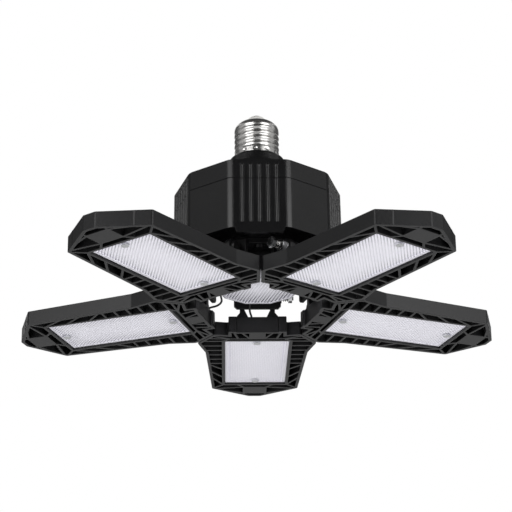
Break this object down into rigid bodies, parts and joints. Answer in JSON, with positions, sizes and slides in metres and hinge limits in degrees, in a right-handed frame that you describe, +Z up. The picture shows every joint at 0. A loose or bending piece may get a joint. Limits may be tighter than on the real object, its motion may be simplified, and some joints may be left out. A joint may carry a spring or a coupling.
{
  "type": "folding leaf ceiling light",
  "caption": "Screw-cap ceiling light with flat leaves that hinge round a hub under a ribbed driver housing; each leaf and the centre carry a prismatic lens.",
  "frame": {"origin": "on the lamp's axis, on the neck rim where the screw shell leaves it", "axes": "+Z up along the cap towards the lamp holder; +Y towards leaf 1; leaves 2 to 5 follow anticlockwise seen from above"},
  "size_m": [0.2762, 0.2644, 0.1264],
  "materials": {
    "nickel_cap": "bright nickel-plated sheet, rolled thread",
    "cap_ceramic": "pale moulded insulator",
    "housing_black": "black moulded plastic, slight sheen",
    "frame_black": "black powder-coated die casting",
    "lens_clear": "prismatic diffusing lens, fine ridges",
    "light_board": "white solder mask with light chips",
    "circuit_board": "green board",
    "capacitor_sleeve": "sleeved can",
    "transformer_core": "taped core",
    "copper_winding": "enamelled wire on a drum",
    "seal_rubber": "soft foam seal",
    "zinc_steel": "zinc-plated steel",
    "black_steel": "blackened steel screws",
    "spring_steel": "bright spring wire",
    "lead_black": "black insulated lead"
  },
  "bodies": {
    "root": {"screw_shell": "nickel_cap", "cap_insulator": "cap_ceramic", "centre_contact": "nickel_cap", "top_cover": "housing_black", "driver_case": "housing_black", "driver_board": "circuit_board", "bulk_capacitor": "capacitor_sleeve", "power_transformer": "transformer_core", "bridge_rectifier": "housing_black", "filter_inductor": "copper_winding", "case_screws": "zinc_steel", "hinge_hub": "frame_black", "hub_screws": "black_steel", "centre_light_board": "light_board", "centre_gasket": "seal_rubber", "centre_lens": "lens_clear", "hinge_screws": "black_steel", "hinge_washers": "zinc_steel", "hinge_sleeves": "seal_rubber", "hinge_springs": "spring_steel", "hinge_nuts": "zinc_steel", "leaf_lead_1": "lead_black", "leaf_lead_2": "lead_black", "leaf_lead_3": "lead_black", "leaf_lead_4": "lead_black", "leaf_lead_5": "lead_black"},
    "leaf_1": {"leaf_frame_1": "frame_black", "leaf_light_board_1": "light_board", "leaf_gasket_1": "seal_rubber", "leaf_lens_1": "lens_clear", "leaf_screws_1": "zinc_steel"},
    "leaf_2": {"leaf_frame_2": "frame_black", "leaf_light_board_2": "light_board", "leaf_gasket_2": "seal_rubber", "leaf_lens_2": "lens_clear", "leaf_screws_2": "zinc_steel"},
    "leaf_3": {"leaf_frame_3": "frame_black", "leaf_light_board_3": "light_board", "leaf_gasket_3": "seal_rubber", "leaf_lens_3": "lens_clear", "leaf_screws_3": "zinc_steel"},
    "leaf_4": {"leaf_frame_4": "frame_black", "leaf_light_board_4": "light_board", "leaf_gasket_4": "seal_rubber", "leaf_lens_4": "lens_clear", "leaf_screws_4": "zinc_steel"},
    "leaf_5": {"leaf_frame_5": "frame_black", "leaf_light_board_5": "light_board", "leaf_gasket_5": "seal_rubber", "leaf_lens_5": "lens_clear", "leaf_screws_5": "zinc_steel"}
  },
  "joints": [
    {"name": "leaf_1_fold", "type": "hinge", "parent": "root", "child": "leaf_1", "pos_m": [0, 0.038, -0.0709], "axis": [1, 0, 0], "range_deg": [0, 90], "deforming": ["leaf_lead_1"]},
    {"name": "leaf_2_fold", "type": "hinge", "parent": "root", "child": "leaf_2", "pos_m": [-0.03614, 0.01174, -0.0709], "axis": [0.309, 0.9511, 0], "range_deg": [0, 90], "deforming": ["leaf_lead_2"]},
    {"name": "leaf_3_fold", "type": "hinge", "parent": "root", "child": "leaf_3", "pos_m": [-0.02234, -0.03074, -0.0709], "axis": [-0.809, 0.5878, 0], "range_deg": [0, 90], "deforming": ["leaf_lead_3"]},
    {"name": "leaf_4_fold", "type": "hinge", "parent": "root", "child": "leaf_4", "pos_m": [0.02234, -0.03074, -0.0709], "axis": [-0.809, -0.5878, 0], "range_deg": [0, 90], "deforming": ["leaf_lead_4"]},
    {"name": "leaf_5_fold", "type": "hinge", "parent": "root", "child": "leaf_5", "pos_m": [0.03614, 0.01174, -0.0709], "axis": [0.309, -0.9511, 0], "range_deg": [0, 90], "deforming": ["leaf_lead_5"]}
  ]
}
